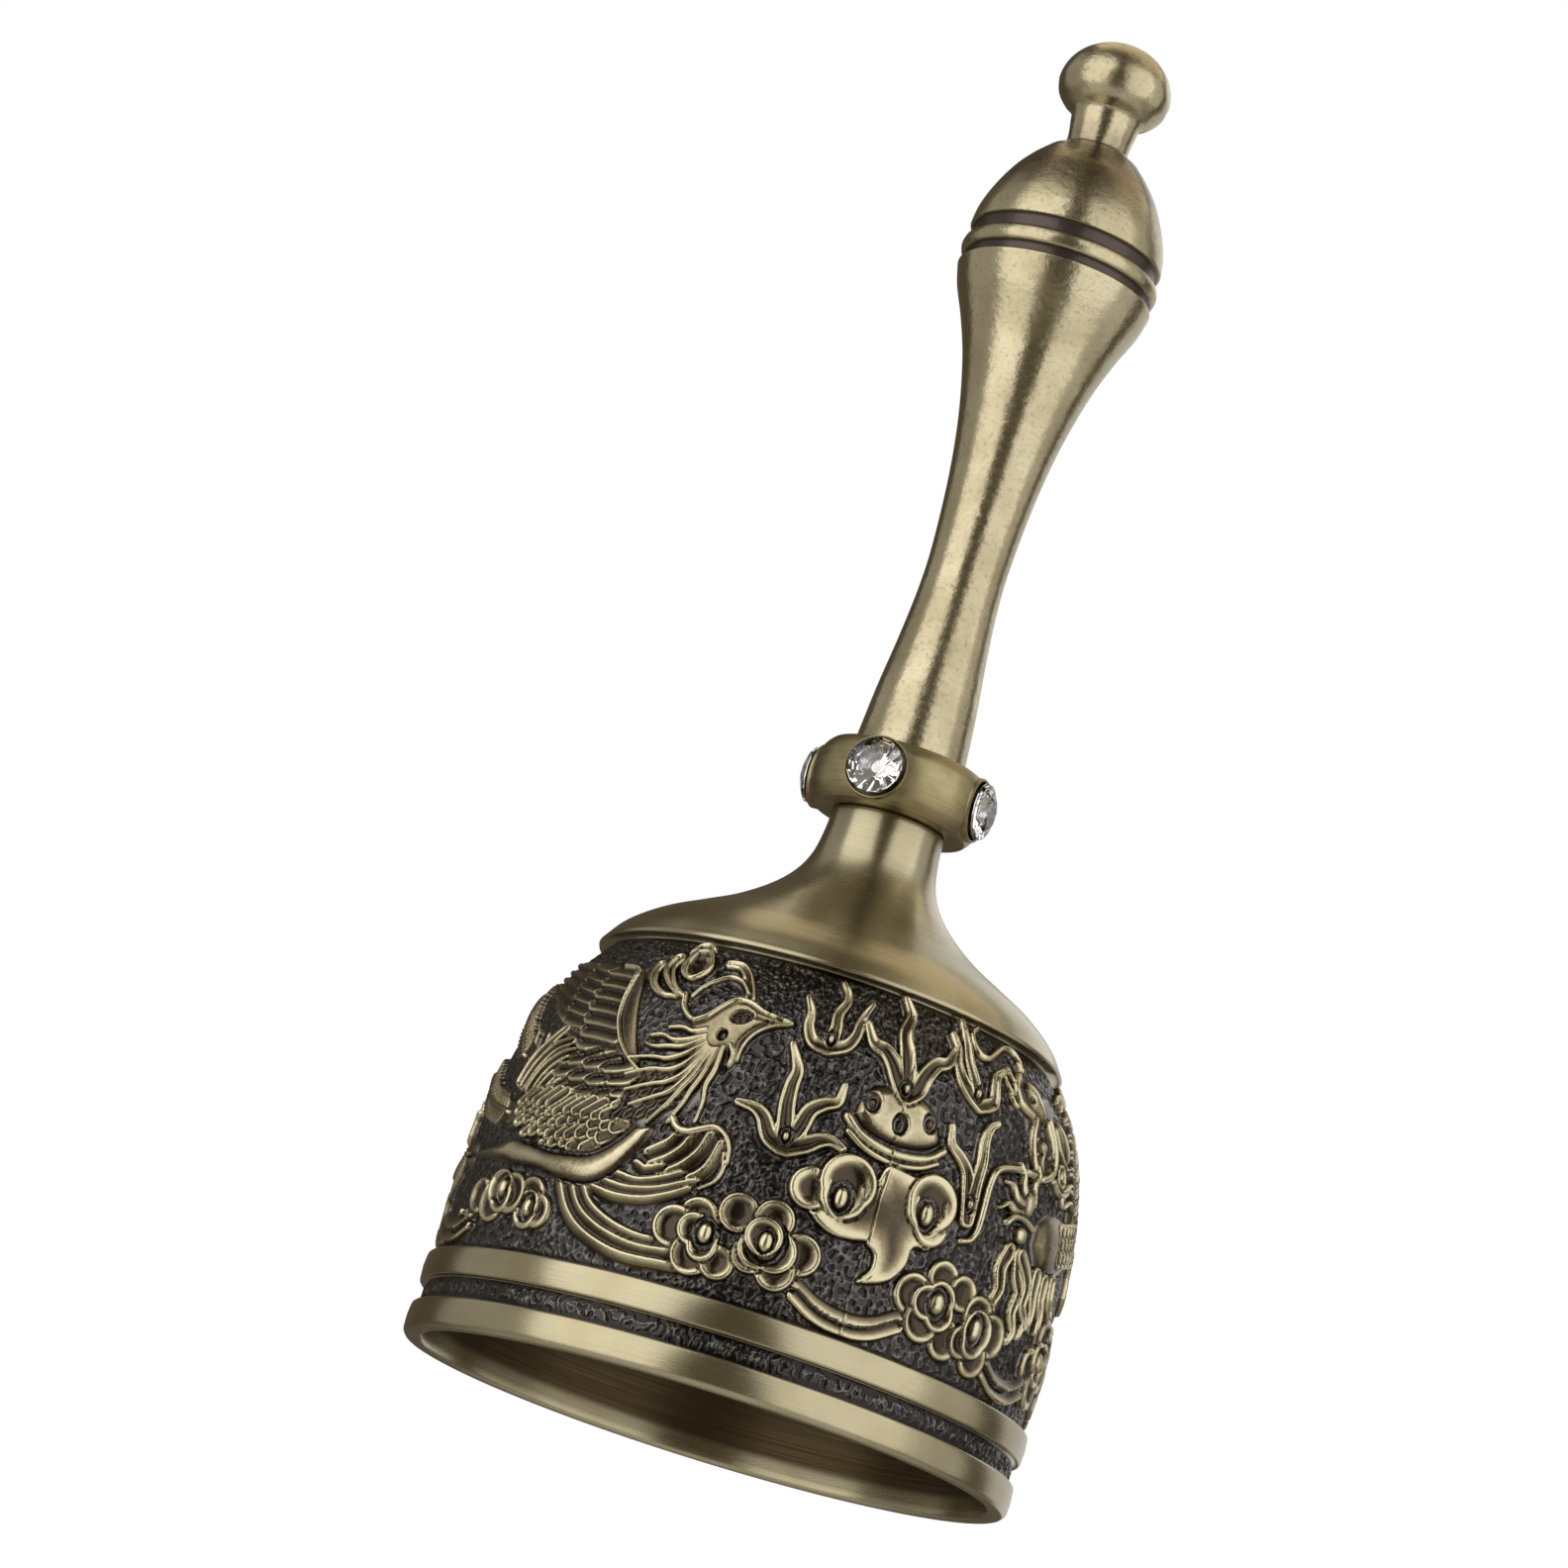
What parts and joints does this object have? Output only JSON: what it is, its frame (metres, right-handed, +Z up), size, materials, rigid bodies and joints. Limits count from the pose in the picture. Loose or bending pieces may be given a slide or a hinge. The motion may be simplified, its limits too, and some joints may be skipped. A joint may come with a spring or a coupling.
{
  "type": "hand bell",
  "caption": "Cast brass hand bell with a turned handle, a jewelled collar, a relief-cast skirt and a hanging clapper.",
  "frame": {"origin": "centre of the mouth rim's underside, where the standing bell touches the table", "axes": "+Z up the bell's axis to the finial; -Y is the side with the front stone, 19 degrees to its left; +X is right when looking along +Y"},
  "size_m": [0.058, 0.058, 0.1412],
  "materials": {
    "relief_brass": "antiqued cast brass, satin-brushed bands and shoulder, dark patina in the relief",
    "handle_brass": "polished antiqued cast brass with fine pitting and dark grooves",
    "collar_brass": "dull olive brass, duller than the handle",
    "foiled_glass": "clear cut glass with a silvered back",
    "zinc_steel": "zinc-plated steel",
    "wire_brass": "drawn brass wire, slightly tarnished",
    "ball_brass": "turned brass, worn bright where it strikes"
  },
  "bodies": {
    "bell": {"bell_body": "relief_brass", "handle": "handle_brass", "jewel_collar": "collar_brass", "rhinestone_front": "foiled_glass", "rhinestone_right": "foiled_glass", "rhinestone_back": "foiled_glass", "rhinestone_left": "foiled_glass", "eye_stud": "zinc_steel", "crown_washer": "zinc_steel", "crown_nut": "zinc_steel"},
    "hanger": {"hanger_ring": "wire_brass"},
    "clapper": {"clapper_rod": "wire_brass", "clapper_ball": "ball_brass"}
  },
  "joints": [
    {"name": "ring_sway", "type": "hinge", "parent": "bell", "child": "hanger", "pos_m": [0, 0, 0.0357], "axis": [1, 0, 0], "range_deg": [-20, 20]},
    {"name": "clapper_swing", "type": "hinge", "parent": "hanger", "child": "clapper", "pos_m": [0, 0, 0.03105], "axis": [0, 1, 0], "range_deg": [-64, 64]}
  ]
}
